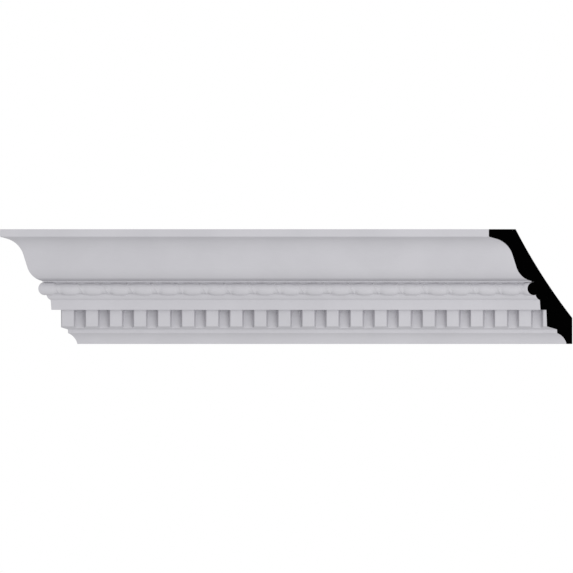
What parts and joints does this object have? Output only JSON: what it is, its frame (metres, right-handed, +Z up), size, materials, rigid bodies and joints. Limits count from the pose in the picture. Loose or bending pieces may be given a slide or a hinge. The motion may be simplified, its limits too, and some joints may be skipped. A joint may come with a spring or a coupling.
{
  "type": "dentil moulding",
  "caption": "Length of sprung crown moulding with a cyma brow, a carved string of long beads and reels, and a row of dentils, mitred at both ends.",
  "frame": {"origin": "middle of the plumb back face that is fixed to the wall", "axes": "+Z up, +Y into the wall, so the carved front faces -Y; X runs along the moulding"},
  "size_m": [0.5226, 0.0762, 0.1048],
  "materials": {
    "primed_casting": "matte, factory-primed rigid polyurethane foam, smooth from the mould"
  },
  "bodies": {
    "root": {"dentil_moulding": "primed_casting"}
  },
  "joints": []
}
